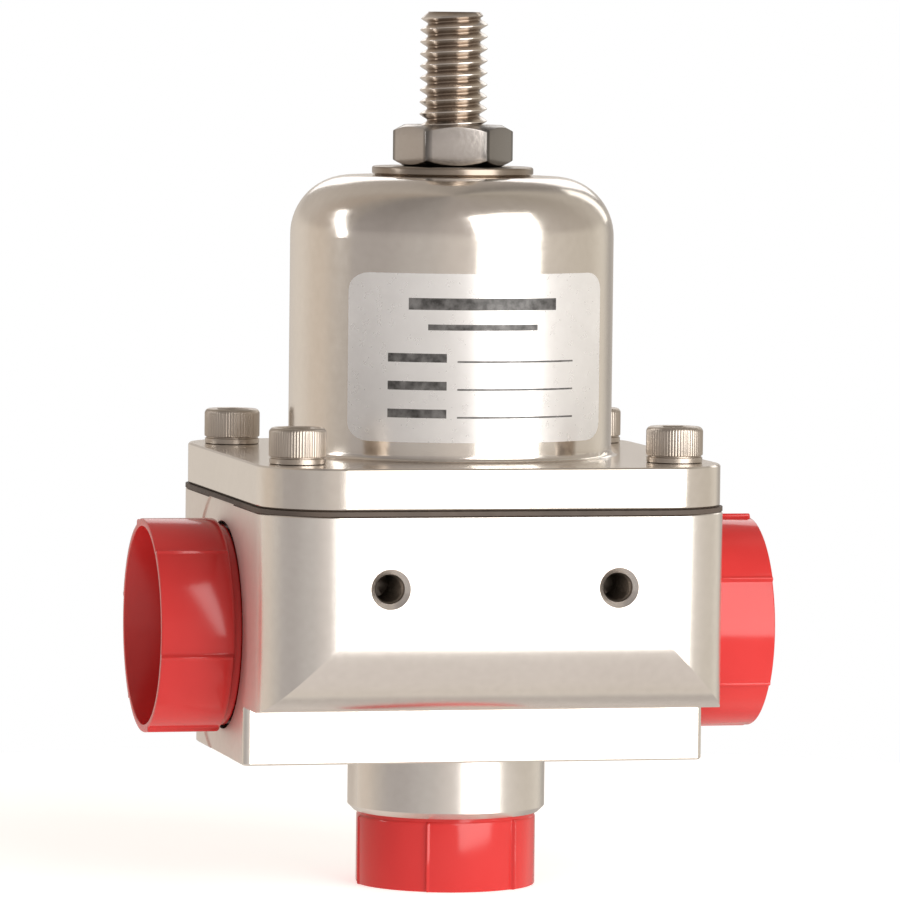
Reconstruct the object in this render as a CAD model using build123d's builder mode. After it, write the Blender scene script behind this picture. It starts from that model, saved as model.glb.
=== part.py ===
"""Adjustable bypass pressure regulator with a spring bonnet, built as separate pieces.

Millimetres. +Z is up along the adjusting screw. The origin is on the main axis, on the plane
that the rim of the bottom port plug stands on. -Y is the front, with the two bracket holes.
"""
from build123d import *
from collections import namedtuple
from math import cos, radians, sin
import os

os.makedirs("parts", exist_ok=True)

# Driving dimensions: heights from the rim of the bottom plug
BOSS_BASE = 8.65
SLAB_BASE = 15.65
BLOCK_BASE = 22.5
BODY_TOP = 45.5
DIAPHRAGM_THICKNESS = 0.5
FLANGE_THICKNESS = 4.9
BONNET_TOP = 83.55
PORT_HEIGHT = 30.8
BRACKET_HOLE_HEIGHT = 37.15

# Housing
BODY_WIDTH = 54.9
BODY_DEPTH = 57.4
CORNER_RADIUS = 8.0
SLAB_DEPTH = 28.6
SLAB_CORNER = 0.8
BOSS_RADIUS = 11.65
BOSS_CHAMFER = 0.7
CHAMBER_RADIUS = 15.0
CHAMBER_FLOOR = 26.0
SPOTFACE_RADIUS = 16.2
SPOTFACE_DEPTH = 0.25
BRACKET_SPACING = 26.8
BRACKET_HOLE_RADIUS = 1.75
BRACKET_HOLE_DEPTH = 9.5
BRACKET_SINK_RADIUS = 2.33

# Bonnet and its screws (#8-32 socket head cap screws)
FLANGE_INSET = 0.1
FLANGE_CORNER = 8.8
FLANGE_ROUND = 0.35
BONNET_RADIUS = 19.05
BONNET_CROWN = 7.0
BONNET_INNER_CROWN = 3.0
BONNET_FOOT = 0.8
BONNET_BORE_RADIUS = 15.5
BONNET_CEILING = 77.8
VENT_RADIUS = 0.8
VENT_HEIGHT = 60.0
SCREW_X = 22.35
SCREW_Y = 18.95
SCREW_RADIUS = 2.08
SCREW_LENGTH = 15.9
SCREW_HEAD_RADIUS = 3.3
SCREW_HEAD_HEIGHT = 4.17
SCREW_KEY = 3.57
SCREW_KEY_DEPTH = 2.2
SCREW_CLEARANCE = 2.25

# Adjusting screw (5/16-18 socket set screw), jam nut and washer
ADJUSTER_RADIUS = 3.97
ADJUSTER_LENGTH = 25.4
ADJUSTER_TOP = 102.8
ADJUSTER_KEY = 3.97
ADJUSTER_KEY_DEPTH = 4.0
WASHER_RADIUS = 9.5
WASHER_THICKNESS = 1.1
WASHER_BEVEL = 0.3
NUT_FLATS = 12.4
NUT_HEIGHT = 4.9
NUT_TURN = -7.4

# Inner works
DIAPHRAGM_OVERHANG = 0.25
FOLD_RADIUS = 12.9
FOLD_ARC = 1.7
STEM_RADIUS = 2.0
PLATE_RADIUS = 10.4
PLATE_THICKNESS = 1.5
PILOT_RADIUS = 7.0
PILOT_HEIGHT = 1.5
STEM_NUT_FLATS = 7.8
STEM_NUT_HEIGHT = 3.0
STEM_TOP = 54.0
STEM_HEAD_RADIUS = 5.2
STEM_FOOT = 34.4
BALL_RADIUS = 3.0
SEAT_TOP = 33.0
SEAT_BORE = 2.0
SEAT_NOZZLE = 3.2
SEAT_THREAD_RADIUS = 4.75
SEAT_FLATS = 12.0
SEAT_HEX_TOP = 28.6
PIVOT_BALL_RADIUS = 2.38
SPRING_WIRE = 1.15
SPRING_RADIUS = 8.7
SPRING_PITCH = 4.0

# Name plate
LABEL_HALF_ANGLE = 52.0
LABEL_HEIGHT = 19.5
LABEL_BASE = 53.2
LABEL_CORNER = 2.0
LABEL_THICKNESS = 0.15

# Fits and broken edges
FIT = 0.05
GAP = 0.15
EDGE_BREAK = 0.2

# A port and the plug that closes it. Depths run into the housing, lengths run out of it.
Port = namedtuple(
    "Port",
    "bore bore_depth seat seat_depth shank_length shank_bore collar grip grip_bore reach rib_turn",
)
SIDE_PORT = Port(10.2, 14.3, 12.2, 2.2, 9.0, 8.6, 12.25, 12.75, 11.6, 9.5, 47.5)
BOTTOM_PORT = Port(8.75, 13.35, 10.4, 2.0, 8.0, 7.3, 10.5, 10.95, 9.9, 8.65, -35.6)
COLLAR_LENGTH = 0.9
RIB_COUNT = 6
RIB_STEP = 0.4
PLUG_WALL = 1.2
O_RING_SECTION = 0.7

FACE_X = BODY_WIDTH / 2 - SPOTFACE_DEPTH
LEFT_FACE = Plane(origin=(-FACE_X, 0, PORT_HEIGHT), x_dir=(0, -1, 0), z_dir=(-1, 0, 0))
RIGHT_FACE = Plane(origin=(FACE_X, 0, PORT_HEIGHT), x_dir=(0, -1, 0), z_dir=(1, 0, 0))
BOTTOM_FACE = Plane(origin=(0, 0, BOSS_BASE), x_dir=(0, -1, 0), z_dir=(0, 0, -1))
FRONT_FACE = Plane(origin=(0, -BODY_DEPTH / 2, BRACKET_HOLE_HEIGHT), x_dir=(1, 0, 0), z_dir=(0, -1, 0))

DIAPHRAGM_TOP = BODY_TOP + DIAPHRAGM_THICKNESS
FLANGE_TOP = DIAPHRAGM_TOP + FLANGE_THICKNESS
WASHER_TOP = BONNET_TOP + WASHER_THICKNESS
PLATE_TOP = DIAPHRAGM_TOP + PLATE_THICKNESS
ADJUSTER_FOOT = ADJUSTER_TOP - ADJUSTER_LENGTH
PIVOT_BALL_HEIGHT = ADJUSTER_FOOT - 1.6
BUTTON_TOP = PIVOT_BALL_HEIGHT - 0.4
BUTTON_BASE = BUTTON_TOP - 3.0
VALVE_BALL_HEIGHT = SEAT_TOP + (BALL_RADIUS**2 - SEAT_BORE**2) ** 0.5 + 0.02


def save(piece, name):
    """Label one finished piece and write it under that name."""
    piece.part.label = name
    export_step(piece.part, f"parts/{name}.step")


def bonnet_screw_places():
    return GridLocations(2 * SCREW_X, 2 * SCREW_Y, 2, 2)


def hexagon(flats, turn=0.0):
    """Sketch a hexagon by its width across flats."""
    RegularPolygon(flats / 2, 6, major_radius=False, rotation=turn)


def break_hex_corners(flats, level, inward):
    """Cut the cone that rounds a hexagon's corners at one end. inward is +1 or -1 along Z."""
    tip = flats / 2 * 1.25
    with BuildSketch(Plane.XZ) as corner:
        with BuildLine():
            Polyline(
                (flats / 2 * 0.97, level),
                (tip, level),
                (tip, level + inward * (tip - flats / 2 * 0.97) * 0.577),
                close=True,
            )
        make_face()
    revolve(corner.sketch, axis=Axis.Z, mode=Mode.SUBTRACT)


def block_outline(grow, corner):
    RectangleRounded(BODY_WIDTH + 2 * grow, BODY_DEPTH + 2 * grow, corner)


def cut_port(face, port):
    """Cut the threaded bore of a port and the recess for its O-ring."""
    with BuildSketch(face) as bore:
        Circle(port.bore)
    extrude(bore.sketch, amount=-port.bore_depth, mode=Mode.SUBTRACT)
    with BuildSketch(face) as recess:
        Circle(port.seat)
    extrude(recess.sketch, amount=-port.seat_depth, mode=Mode.SUBTRACT)


# Housing: the upper block, the slab that carries the side ports, and the boss of the bottom port
with BuildPart() as housing:
    with BuildSketch(Plane.XY.offset(BLOCK_BASE)):
        block_outline(0, CORNER_RADIUS)
    extrude(amount=BODY_TOP - BLOCK_BASE)
    chamfer(housing.faces().sort_by(Axis.Z)[-1].edges(), length=EDGE_BREAK)
    # The front and back lower edges are rounded like the corners, so they meet in straight mitres
    with BuildSketch(Plane.YZ.offset(-BODY_WIDTH / 2)) as side_view:
        with Locations((0, BLOCK_BASE)):
            Rectangle(BODY_DEPTH, BODY_TOP - BLOCK_BASE, align=(Align.CENTER, Align.MIN))
        fillet(side_view.vertices().group_by(Axis.Y)[0], radius=CORNER_RADIUS)
    extrude(amount=BODY_WIDTH, mode=Mode.INTERSECT)
    with BuildSketch(Plane.XY.offset(SLAB_BASE)):
        RectangleRounded(BODY_WIDTH, SLAB_DEPTH, SLAB_CORNER)
    extrude(amount=BLOCK_BASE - SLAB_BASE)
    chamfer(housing.faces().sort_by(Axis.Z)[0].edges(), length=EDGE_BREAK)
    with BuildSketch(Plane.XY.offset(BOSS_BASE)):
        Circle(BOSS_RADIUS)
    extrude(amount=SLAB_BASE - BOSS_BASE)
    boss_rim = housing.faces().sort_by(Axis.Z)[0].edges()
    chamfer(boss_rim, length=BOSS_CHAMFER)
    with BuildSketch(LEFT_FACE, RIGHT_FACE):
        Circle(SPOTFACE_RADIUS)
    extrude(amount=SPOTFACE_DEPTH + 1, mode=Mode.SUBTRACT)
    with BuildSketch(Plane.XY.offset(BODY_TOP)):
        Circle(CHAMBER_RADIUS)
    extrude(amount=CHAMBER_FLOOR - BODY_TOP, mode=Mode.SUBTRACT)
    cut_port(LEFT_FACE, SIDE_PORT)
    cut_port(RIGHT_FACE, SIDE_PORT)
    cut_port(BOTTOM_FACE, BOTTOM_PORT)
    with BuildSketch(Plane.XY.offset(CHAMBER_FLOOR)):
        Circle(SEAT_THREAD_RADIUS + FIT)
    extrude(amount=BOSS_BASE - CHAMBER_FLOOR, mode=Mode.SUBTRACT)
    with Locations(Plane.XY.offset(BODY_TOP)):
        with bonnet_screw_places():
            Hole(SCREW_RADIUS + FIT, depth=SCREW_LENGTH - FLANGE_THICKNESS + 1)
    with Locations(FRONT_FACE):
        with GridLocations(BRACKET_SPACING, 0, 2, 1):
            CounterSinkHole(
                BRACKET_HOLE_RADIUS, BRACKET_SINK_RADIUS, depth=BRACKET_HOLE_DEPTH, counter_sink_angle=90
            )
save(housing, "housing")

# Bonnet: spring cover and clamping flange in one piece
with BuildPart() as bonnet:
    with BuildSketch(Plane.XY.offset(DIAPHRAGM_TOP)):
        block_outline(-FLANGE_INSET, FLANGE_CORNER)
    extrude(amount=FLANGE_THICKNESS)
    chamfer(bonnet.edges().group_by(Axis.Z)[-1], length=EDGE_BREAK)
    fillet(bonnet.edges().group_by(Axis.Z)[0], radius=FLANGE_ROUND)
    with BuildSketch(Plane.XY.offset(FLANGE_TOP)):
        Circle(BONNET_RADIUS)
    extrude(amount=BONNET_TOP - FLANGE_TOP)
    foot = bonnet.edges().filter_by(GeomType.CIRCLE).filter_by_position(Axis.Z, FLANGE_TOP, FLANGE_TOP)
    fillet(foot.filter_by(lambda e: e.radius > FLANGE_CORNER), radius=BONNET_FOOT)
    fillet(bonnet.faces().sort_by(Axis.Z)[-1].edges(), radius=BONNET_CROWN)
    with BuildSketch(Plane.XY.offset(DIAPHRAGM_TOP)):
        Circle(BONNET_BORE_RADIUS)
    extrude(amount=BONNET_CEILING - DIAPHRAGM_TOP, mode=Mode.SUBTRACT)
    ceiling = bonnet.faces().filter_by(Plane.XY).filter_by_position(Axis.Z, BONNET_CEILING, BONNET_CEILING)
    fillet(ceiling.edges(), radius=BONNET_INNER_CROWN)
    with BuildSketch(Plane.XY.offset(BONNET_TOP)):
        Circle(ADJUSTER_RADIUS + FIT)
    extrude(amount=BONNET_CEILING - BONNET_TOP, mode=Mode.SUBTRACT)
    with Locations(Plane.XY.offset(FLANGE_TOP)):
        with bonnet_screw_places():
            Hole(SCREW_CLEARANCE, depth=FLANGE_THICKNESS)
    with BuildSketch(Plane.XZ.offset(-BONNET_RADIUS)):
        with Locations((0, VENT_HEIGHT)):
            Circle(VENT_RADIUS)
    extrude(amount=6, mode=Mode.SUBTRACT)
save(bonnet, "bonnet")

# Diaphragm: rubber sheet clamped between the flanges, with one round fold
with BuildPart() as diaphragm:
    fold_half = DIAPHRAGM_THICKNESS / 2
    with BuildSketch(Plane.XY.offset(BODY_TOP)):
        block_outline(DIAPHRAGM_OVERHANG - FLANGE_INSET, FLANGE_CORNER)
        with bonnet_screw_places():
            Circle(SCREW_CLEARANCE, mode=Mode.SUBTRACT)
        Circle(FOLD_RADIUS + FOLD_ARC - fold_half, mode=Mode.SUBTRACT)
        Circle(FOLD_RADIUS - FOLD_ARC + fold_half)
        Circle(STEM_RADIUS + FIT, mode=Mode.SUBTRACT)
    extrude(amount=DIAPHRAGM_THICKNESS)
    with BuildSketch(Plane.XZ):
        with Locations((FOLD_RADIUS, BODY_TOP + fold_half)):
            Circle(FOLD_ARC + fold_half)
            Circle(FOLD_ARC - fold_half, mode=Mode.SUBTRACT)
            with Locations((0, -FOLD_ARC)):
                Rectangle(4 * FOLD_ARC, 2 * FOLD_ARC, mode=Mode.SUBTRACT)
    revolve(axis=Axis.Z)
save(diaphragm, "diaphragm")

# Bonnet screws: four socket head cap screws in one node
with BuildPart() as bonnet_screws:
    with BuildSketch(Plane.XY.offset(FLANGE_TOP)):
        with bonnet_screw_places():
            Circle(SCREW_HEAD_RADIUS)
    extrude(amount=SCREW_HEAD_HEIGHT)
    rims = bonnet_screws.faces().sort_by(Axis.Z)[-4:].edges()
    chamfer(rims, length=0.3)
    with BuildSketch(Plane.XY.offset(FLANGE_TOP)):
        with bonnet_screw_places():
            Circle(SCREW_RADIUS)
    extrude(amount=-SCREW_LENGTH)
    with BuildSketch(Plane.XY.offset(FLANGE_TOP + SCREW_HEAD_HEIGHT)):
        with bonnet_screw_places():
            hexagon(SCREW_KEY)
    extrude(amount=-SCREW_KEY_DEPTH, mode=Mode.SUBTRACT)
save(bonnet_screws, "bonnet_screws")

# Adjusting screw with a hexagon socket
with BuildPart() as adjusting_screw:
    with BuildSketch(Plane.XY.offset(ADJUSTER_FOOT)):
        Circle(ADJUSTER_RADIUS)
    extrude(amount=ADJUSTER_LENGTH)
    ends = adjusting_screw.edges().filter_by(GeomType.CIRCLE)
    chamfer(ends, length=0.6)
    with BuildSketch(Plane.XY.offset(ADJUSTER_TOP)):
        hexagon(ADJUSTER_KEY)
    extrude(amount=-ADJUSTER_KEY_DEPTH, mode=Mode.SUBTRACT)
    with Locations((0, 0, PIVOT_BALL_HEIGHT)):
        Sphere(PIVOT_BALL_RADIUS + FIT, mode=Mode.SUBTRACT)
save(adjusting_screw, "adjusting_screw")

# Thin washer under the jam nut
with BuildPart() as seal_washer:
    with BuildSketch(Plane.XY.offset(BONNET_TOP)):
        Circle(WASHER_RADIUS)
        Circle(ADJUSTER_RADIUS + GAP, mode=Mode.SUBTRACT)
    extrude(amount=WASHER_THICKNESS)
    foot = seal_washer.edges().filter_by(GeomType.CIRCLE).group_by(Axis.Z)[0]
    chamfer(foot.sort_by(SortBy.RADIUS)[-1], length=WASHER_BEVEL)
save(seal_washer, "seal_washer")

# Jam nut
with BuildPart() as jam_nut:
    with BuildSketch(Plane.XY.offset(WASHER_TOP)):
        hexagon(NUT_FLATS, NUT_TURN)
        Circle(ADJUSTER_RADIUS + FIT, mode=Mode.SUBTRACT)
    extrude(amount=NUT_HEIGHT)
    break_hex_corners(NUT_FLATS, WASHER_TOP, 1)
    break_hex_corners(NUT_FLATS, WASHER_TOP + NUT_HEIGHT, -1)
save(jam_nut, "jam_nut")

# Pivot ball between the adjusting screw and the spring button
with BuildPart() as pivot_ball:
    with Locations((0, 0, PIVOT_BALL_HEIGHT)):
        Sphere(PIVOT_BALL_RADIUS)
save(pivot_ball, "pivot_ball")

# Spring button: carries the upper end of the spring
with BuildPart() as spring_button:
    with BuildSketch(Plane.XY.offset(BUTTON_BASE)):
        Circle(PLATE_RADIUS)
    extrude(amount=BUTTON_TOP - BUTTON_BASE)
    chamfer(spring_button.faces().sort_by(Axis.Z)[-1].edges(), length=1.0)
    with BuildSketch(Plane.XY.offset(BUTTON_BASE)):
        Circle(PILOT_RADIUS)
    extrude(amount=-PILOT_HEIGHT)
    with Locations((0, 0, PIVOT_BALL_HEIGHT)):
        Sphere(PIVOT_BALL_RADIUS, mode=Mode.SUBTRACT)
save(spring_button, "spring_button")

# Main spring: round wire with ground ends
with BuildPart() as main_spring:
    spring_height = BUTTON_BASE - PLATE_TOP
    coil = Helix(
        pitch=SPRING_PITCH,
        height=spring_height,
        radius=SPRING_RADIUS,
        center=(0, 0, PLATE_TOP),
    )
    with BuildSketch(Plane(origin=coil @ 0, z_dir=coil % 0)):
        Circle(SPRING_WIRE)
    sweep(path=coil, is_frenet=True)
    with BuildSketch(Plane.XY.offset(PLATE_TOP + FIT)):
        Circle(SPRING_RADIUS + 2 * SPRING_WIRE)
    extrude(amount=spring_height - 2 * FIT, mode=Mode.INTERSECT)
save(main_spring, "main_spring")

# Upper plate of the diaphragm, with a pilot for the spring
with BuildPart() as diaphragm_upper_plate:
    with BuildSketch(Plane.XY.offset(DIAPHRAGM_TOP)):
        Circle(PLATE_RADIUS)
    extrude(amount=PLATE_THICKNESS)
    with BuildSketch(Plane.XY.offset(PLATE_TOP)):
        Circle(PILOT_RADIUS)
    extrude(amount=PILOT_HEIGHT)
    with BuildSketch(Plane.XY.offset(DIAPHRAGM_TOP)):
        Circle(STEM_RADIUS + FIT)
    extrude(amount=PLATE_THICKNESS + PILOT_HEIGHT, mode=Mode.SUBTRACT)
save(diaphragm_upper_plate, "diaphragm_upper_plate")

# Lower plate of the diaphragm
with BuildPart() as diaphragm_lower_plate:
    with BuildSketch(Plane.XY.offset(BODY_TOP)):
        Circle(PLATE_RADIUS)
        Circle(STEM_RADIUS + FIT, mode=Mode.SUBTRACT)
    extrude(amount=-PLATE_THICKNESS)
save(diaphragm_lower_plate, "diaphragm_lower_plate")

# Valve stem: stud through the diaphragm, with a head that holds the valve ball
with BuildPart() as valve_stem:
    with BuildSketch(Plane.XY.offset(STEM_FOOT)):
        Circle(STEM_HEAD_RADIUS)
    extrude(amount=BODY_TOP - PLATE_THICKNESS - STEM_FOOT)
    with BuildSketch(Plane.XY.offset(STEM_FOOT)):
        Circle(STEM_RADIUS)
    extrude(amount=STEM_TOP - STEM_FOOT)
    chamfer(valve_stem.faces().sort_by(Axis.Z)[-1].edges(), length=0.4)
    with Locations((0, 0, VALVE_BALL_HEIGHT)):
        Sphere(BALL_RADIUS, mode=Mode.SUBTRACT)
    with BuildSketch(Plane.XY.offset(STEM_FOOT)):
        Circle(BALL_RADIUS)
    extrude(amount=VALVE_BALL_HEIGHT - STEM_FOOT, mode=Mode.SUBTRACT)
save(valve_stem, "valve_stem")

# Nut that clamps the plates to the diaphragm
with BuildPart() as stem_nut:
    with BuildSketch(Plane.XY.offset(PLATE_TOP + PILOT_HEIGHT)):
        hexagon(STEM_NUT_FLATS)
        Circle(STEM_RADIUS + FIT, mode=Mode.SUBTRACT)
    extrude(amount=STEM_NUT_HEIGHT)
    break_hex_corners(STEM_NUT_FLATS, PLATE_TOP + PILOT_HEIGHT + STEM_NUT_HEIGHT, -1)
save(stem_nut, "stem_nut")

# Valve ball and the ring that keeps it in the stem
with BuildPart() as valve_ball:
    with Locations((0, 0, VALVE_BALL_HEIGHT)):
        Sphere(BALL_RADIUS)
save(valve_ball, "valve_ball")

with BuildPart() as ball_retainer:
    with BuildSketch(Plane.XY.offset(STEM_FOOT)):
        Circle(STEM_HEAD_RADIUS)
        Circle(BALL_RADIUS - 0.12, mode=Mode.SUBTRACT)
    extrude(amount=-0.4)
save(ball_retainer, "ball_retainer")

# Valve seat: hexagon insert screwed into the chamber floor, sealed by its own O-ring
with BuildPart() as valve_seat:
    with BuildSketch(Plane.XY.offset(CHAMBER_FLOOR)):
        hexagon(SEAT_FLATS)
    extrude(amount=SEAT_HEX_TOP - CHAMBER_FLOOR)
    break_hex_corners(SEAT_FLATS, SEAT_HEX_TOP, -1)
    with BuildSketch(Plane.XY.offset(SEAT_HEX_TOP)):
        Circle(SEAT_NOZZLE)
    extrude(amount=SEAT_TOP - SEAT_HEX_TOP)
    with BuildSketch(Plane.XY.offset(CHAMBER_FLOOR)):
        Circle(SEAT_THREAD_RADIUS)
    extrude(amount=-4)
    with BuildSketch(Plane.XY.offset(CHAMBER_FLOOR)):
        Circle(SEAT_THREAD_RADIUS + 1.0)
        Circle(SEAT_THREAD_RADIUS, mode=Mode.SUBTRACT)
    extrude(amount=1.0, mode=Mode.SUBTRACT)
    with BuildSketch(Plane.XY.offset(SEAT_TOP)):
        Circle(SEAT_BORE)
    extrude(amount=CHAMBER_FLOOR - SEAT_TOP - 4, mode=Mode.SUBTRACT)
save(valve_seat, "valve_seat")

with BuildPart() as seat_o_ring:
    with Locations((0, 0, CHAMBER_FLOOR + 0.47)):
        Torus(SEAT_THREAD_RADIUS + 0.5, 0.45)
save(seat_o_ring, "seat_o_ring")

# Name plate: thin curved sheet on the front of the bonnet
with BuildPart() as name_label:
    with BuildSketch(Plane.XY.offset(LABEL_BASE)):
        Circle(BONNET_RADIUS + LABEL_THICKNESS)
        Circle(BONNET_RADIUS, mode=Mode.SUBTRACT)
    extrude(amount=LABEL_HEIGHT)
    label_chord = 2 * BONNET_RADIUS * sin(radians(LABEL_HALF_ANGLE))
    with BuildSketch(Plane.XZ):
        with Locations((0, LABEL_BASE + LABEL_HEIGHT / 2)):
            RectangleRounded(label_chord, LABEL_HEIGHT, LABEL_CORNER)
    extrude(amount=BONNET_RADIUS + 2, mode=Mode.INTERSECT)
save(name_label, "name_label")


def ratchet_outline(grip_radius, turn):
    """Sketch a grip whose radius grows between ribs and drops at each rib."""
    step_angle = 360 / RIB_COUNT
    with BuildLine() as outline:
        for rib in range(RIB_COUNT):
            angles = [radians(turn + step_angle * (rib + share)) for share in (0, 0.5, 1)]
            radii = [grip_radius - RIB_STEP, grip_radius - RIB_STEP / 2, grip_radius]
            points = [(r * cos(a), r * sin(a)) for r, a in zip(radii, angles)]
            ThreePointArc(*points)
            low = grip_radius - RIB_STEP
            Line(points[2], (low * cos(angles[2]), low * sin(angles[2])))
    make_face(outline.edges())


def make_port_plug(name, face, port):
    """Hollow threaded plug with a ribbed grip. Its cavity is open to the outside."""
    with BuildPart() as plug:
        with BuildSketch(face.offset(COLLAR_LENGTH)):
            ratchet_outline(port.grip, port.rib_turn)
        extrude(amount=port.reach - COLLAR_LENGTH)
        with BuildSketch(face.offset(FIT)):
            Circle(port.collar)
        extrude(amount=COLLAR_LENGTH - FIT)
        with BuildSketch(face.offset(FIT)):
            Circle(port.bore - FIT)
        extrude(amount=-port.shank_length)
        with BuildSketch(face.offset(PLUG_WALL - port.shank_length)):
            Circle(port.shank_bore)
        extrude(amount=port.shank_length + port.reach, mode=Mode.SUBTRACT)
        with BuildSketch(face.offset(COLLAR_LENGTH + 0.2)):
            Circle(port.grip_bore)
        extrude(amount=port.reach, mode=Mode.SUBTRACT)
    save(plug, f"{name}_port_plug")


def make_plug_o_ring(name, face, port):
    """O-ring round the neck of a plug, in the recess of the port."""
    with BuildPart() as ring:
        with Locations(face.offset(-port.seat_depth / 2)):
            Torus((port.bore + port.seat) / 2, O_RING_SECTION)
    save(ring, f"{name}_plug_o_ring")


for side, face, port in (
    ("left", LEFT_FACE, SIDE_PORT),
    ("right", RIGHT_FACE, SIDE_PORT._replace(rib_turn=32.5)),
    ("bottom", BOTTOM_FACE, BOTTOM_PORT),
):
    make_port_plug(side, face, port)
    make_plug_o_ring(side, face, port)
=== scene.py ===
"""Looks of the adjustable bypass pressure regulator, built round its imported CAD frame.

Shapes are worked out in millimetres and turned into metres when a piece is made.
+Z is up along the adjusting screw and -Y is the front with the two bracket holes.
"""

from math import acos, asin, atan2, cos, degrees, hypot, pi, radians, sin, sqrt, tan

import bmesh
import bpy
from mathutils import Matrix, Quaternion, Vector


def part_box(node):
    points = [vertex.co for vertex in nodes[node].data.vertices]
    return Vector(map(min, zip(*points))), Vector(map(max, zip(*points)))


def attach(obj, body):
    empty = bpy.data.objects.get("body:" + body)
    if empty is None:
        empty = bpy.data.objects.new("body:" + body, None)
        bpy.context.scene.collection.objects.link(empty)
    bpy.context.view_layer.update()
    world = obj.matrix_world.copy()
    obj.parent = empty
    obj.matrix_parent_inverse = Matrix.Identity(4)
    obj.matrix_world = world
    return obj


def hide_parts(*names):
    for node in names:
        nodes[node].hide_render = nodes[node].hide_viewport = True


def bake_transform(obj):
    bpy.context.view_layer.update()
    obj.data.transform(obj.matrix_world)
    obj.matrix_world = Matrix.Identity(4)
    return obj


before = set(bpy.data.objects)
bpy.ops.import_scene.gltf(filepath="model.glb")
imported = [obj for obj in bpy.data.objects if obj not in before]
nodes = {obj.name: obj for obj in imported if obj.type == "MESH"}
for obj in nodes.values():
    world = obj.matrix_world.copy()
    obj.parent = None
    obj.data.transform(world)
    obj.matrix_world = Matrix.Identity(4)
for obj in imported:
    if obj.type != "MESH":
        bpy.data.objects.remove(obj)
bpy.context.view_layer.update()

MM = 0.001
WELD = 1e-6  # metres between points that become one
POINT = 1e-9  # radius of a ring that closes a piece


def node_box(name):
    """Lowest and highest corner of a CAD node, in millimetres."""
    low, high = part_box(name)
    return low / MM, high / MM


# Sizes that the frame gives
housing_low = node_box("housing")[0]
screw_low, screw_high = node_box("adjusting_screw")
washer_low, washer_high = node_box("seal_washer")
nut_low, nut_high = node_box("jam_nut")
caps_low, caps_high = node_box("bonnet_screws")
label_low, label_high = node_box("name_label")
spring_low, spring_high = node_box("main_spring")
ball_low, ball_high = node_box("pivot_ball")
plug_low, plug_high = node_box("left_port_plug")

# Threads and fasteners
SCREW_PITCH = 1.4111
SCREW_DEPTH = 0.6134 * SCREW_PITCH
SCREW_KEY = 3.97
SCREW_KEY_DEPTH = 4.0
SCREW_KEY_TURN = 14.0
NUT_FLATS = 12.4
NUT_TURN = 21.0
NUT_CONE = 0.93
NUT_BORE_EDGE = 0.45
CAP_X = 22.35
CAP_Y = 18.95
CAP_HEAD_HEIGHT = 4.17
CAP_KEY = 3.57
CAP_KEY_DEPTH = 2.2
CAP_SHANK_RADIUS = 2.08
CAP_BAND = 0.75
CAP_KNURLS = 60
HEX_CORNER = 0.55
FIT = 0.05
BONNET_RADIUS = 19.05

# Tapped holes for a bracket, in the front face
BRACKET_X = 13.4
BRACKET_HEIGHT = 37.15
BRACKET_RADIUS = 1.75
BRACKET_DEPTH = 9.5
BRACKET_PITCH = 0.79
BRACKET_RIDGE = 0.26

# Camera: the photograph's viewing angle
CAMERA_LENS = 277.77
CAMERA_DISTANCE = 819.26
CAMERA_YAW = 13.2554
CAMERA_PITCH = 3.5828
CAMERA_ROLL = 0.631
CAMERA_TARGET = Vector((0.054, -0.013, 51.2))
FLOOR_RADIUS = 150.0
FLOOR_DROP = 0.02


# ---------------------------------------------------------------- mesh helpers

def show_mesh(name, mesh, crease):
    """Puts a mesh in the scene, shaded smooth up to the crease angle."""
    mesh.shade_smooth()
    mesh.set_sharp_from_angle(angle=radians(crease))
    piece = bpy.data.objects.new(name, mesh)
    bpy.context.scene.collection.objects.link(piece)
    return piece


def piece_from(name, points, faces, crease=32.0):
    """Piece from points in millimetres, welded and facing outwards."""
    mesh = bpy.data.meshes.new(name)
    mesh.from_pydata([Vector(p) * MM for p in points], [], faces)
    work = bmesh.new()
    work.from_mesh(mesh)
    bmesh.ops.remove_doubles(work, verts=work.verts, dist=WELD)
    bmesh.ops.dissolve_degenerate(work, edges=work.edges, dist=WELD)
    bmesh.ops.recalc_face_normals(work, faces=work.faces)
    work.to_mesh(mesh)
    work.free()
    return show_mesh(name, mesh, crease)


def skin_faces(ring_count, size, first=0):
    """Quads between rings that each hold the same number of points."""
    faces = []
    for k in range(ring_count - 1):
        low = first + k * size
        high = low + size
        for i in range(size):
            j = (i + 1) % size
            faces.append((low + i, low + j, high + j, high + i))
    return faces


def skin(name, rings, crease=32.0):
    """Piece through rings of points. Rings that lie in one point close it."""
    points = [p for ring in rings for p in ring]
    return piece_from(name, points, skin_faces(len(rings), len(rings[0])), crease)


def ring(outline, z, scale=1.0):
    """Outline points lifted to a height."""
    return [(x * scale, y * scale, z) for x, y in outline]


def circle(radius, angles):
    return [(radius * cos(a), radius * sin(a)) for a in angles]


def even_angles(count):
    return [2 * pi * i / count for i in range(count)]


def hex_outline(flats, turn, corner, per_flat=14, per_corner=6):
    """Hexagon with small round corners, as points in order round its centre."""
    half_flat = flats / 2 * tan(pi / 6)
    straight = half_flat - corner * tan(pi / 6)
    points = []
    for side in range(6):
        heading = radians(turn) + side * pi / 3
        out = Vector((cos(heading), sin(heading)))
        along = Vector((-sin(heading), cos(heading)))
        for i in range(per_flat):
            share = 2 * i / (per_flat - 1) - 1
            points.append(out * (flats / 2) + along * (straight * share))
        centre = out * (flats / 2 - corner) + along * straight
        for i in range(1, per_corner):
            bend = heading + pi / 3 * i / per_corner
            points.append(centre + corner * Vector((cos(bend), sin(bend))))
    return [(p.x, p.y) for p in points]


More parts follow.
